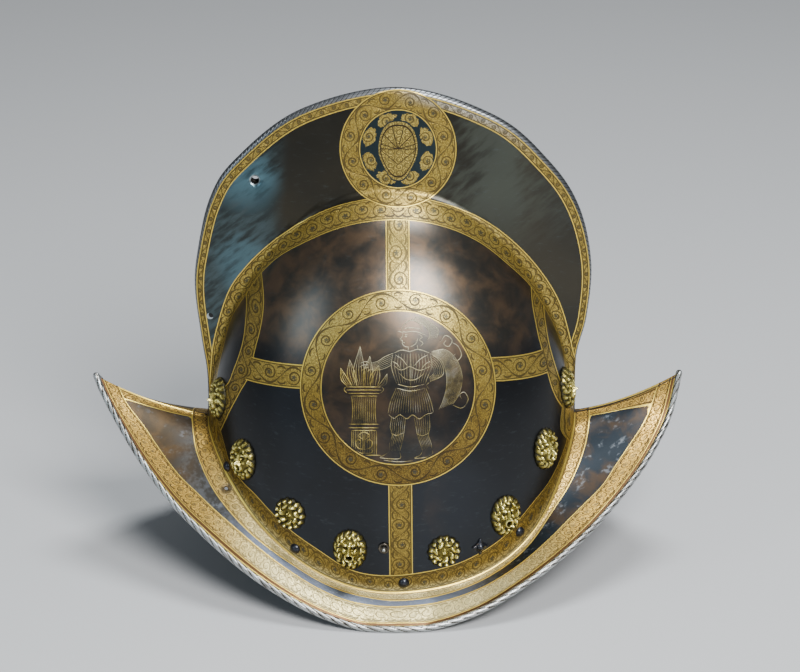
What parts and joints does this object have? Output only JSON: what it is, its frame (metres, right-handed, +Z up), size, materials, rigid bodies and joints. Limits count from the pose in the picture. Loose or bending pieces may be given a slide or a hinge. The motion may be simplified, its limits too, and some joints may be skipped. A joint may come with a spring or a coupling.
{
  "type": "morion helmet",
  "caption": "Comb morion: one-plate steel helmet with a tall hollow comb, boat-shaped brim with raised peaks, roped edge and riveted brass lion masks.",
  "frame": {"origin": "middle of the bounding box at the ground, under the lowest point of the brim", "axes": "+X towards the brow peak along the comb, +Y across the helmet, +Z up through the comb"},
  "size_m": [0.3652, 0.2384, 0.3019],
  "materials": {
    "etched_steel": "blued and russet steel with etched and gilt bands",
    "brass": "cast, aged",
    "iron": "dark forged",
    "bright_steel": "worn bright"
  },
  "bodies": {
    "root": {"helmet_shell": "etched_steel", "lion_mask_1": "brass", "lion_mask_2": "brass", "lion_mask_3": "brass", "lion_mask_4": "brass", "lion_mask_5": "brass", "lion_mask_6": "brass", "lion_mask_7": "brass", "lion_mask_8": "brass", "lion_mask_9": "brass", "lion_mask_10": "brass", "lion_mask_11": "brass", "lion_mask_12": "brass", "rosette_1": "brass", "rosette_2": "brass", "rosette_3": "brass", "rosette_4": "brass", "dome_rivet_1": "iron", "dome_rivet_2": "iron", "dome_rivet_3": "iron", "dome_rivet_4": "iron", "dome_rivet_5": "iron", "dome_rivet_6": "iron", "dome_rivet_7": "iron", "dome_rivet_8": "iron", "lugged_rivet": "iron", "lace_pin": "bright_steel"}
  },
  "joints": []
}
